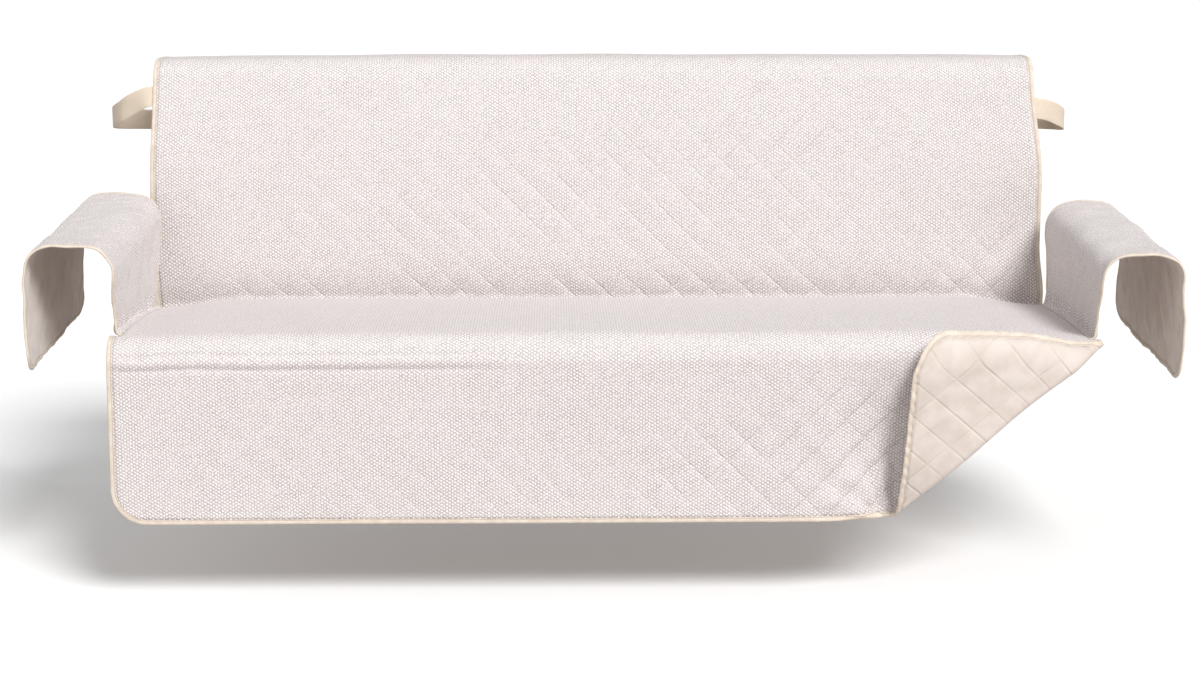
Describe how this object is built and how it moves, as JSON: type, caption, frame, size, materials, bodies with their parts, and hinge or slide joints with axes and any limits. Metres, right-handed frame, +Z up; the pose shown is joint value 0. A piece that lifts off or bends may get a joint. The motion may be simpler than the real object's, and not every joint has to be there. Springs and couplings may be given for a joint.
{
  "type": "sofa slipcover",
  "caption": "Quilted fitted cover for a three-seat sofa's back, seat and arms, with a bound edge, an elastic strap and one front corner folded back.",
  "frame": {"origin": "underside of the cover at the middle of the top of the back, where the sofa's back holds it", "axes": "+X along the sofa's length to the viewer's right, -Y towards the front, +Z up"},
  "size_m": [1.9715, 0.9088, 0.7419],
  "materials": {
    "quilted_cloth": "brushed knit print, diamond quilted, plain cream reverse",
    "binding_tape": "soft woven tape with one stitch line",
    "elastic_webbing": "ribbed knitted elastic"
  },
  "bodies": {
    "root": {"body_panel": "quilted_cloth", "left_arm_panel": "quilted_cloth", "right_arm_panel": "quilted_cloth", "back_binding": "binding_tape", "skirt_binding": "binding_tape", "left_arm_binding": "binding_tape", "right_arm_binding": "binding_tape", "elastic_strap": "elastic_webbing"}
  },
  "joints": []
}
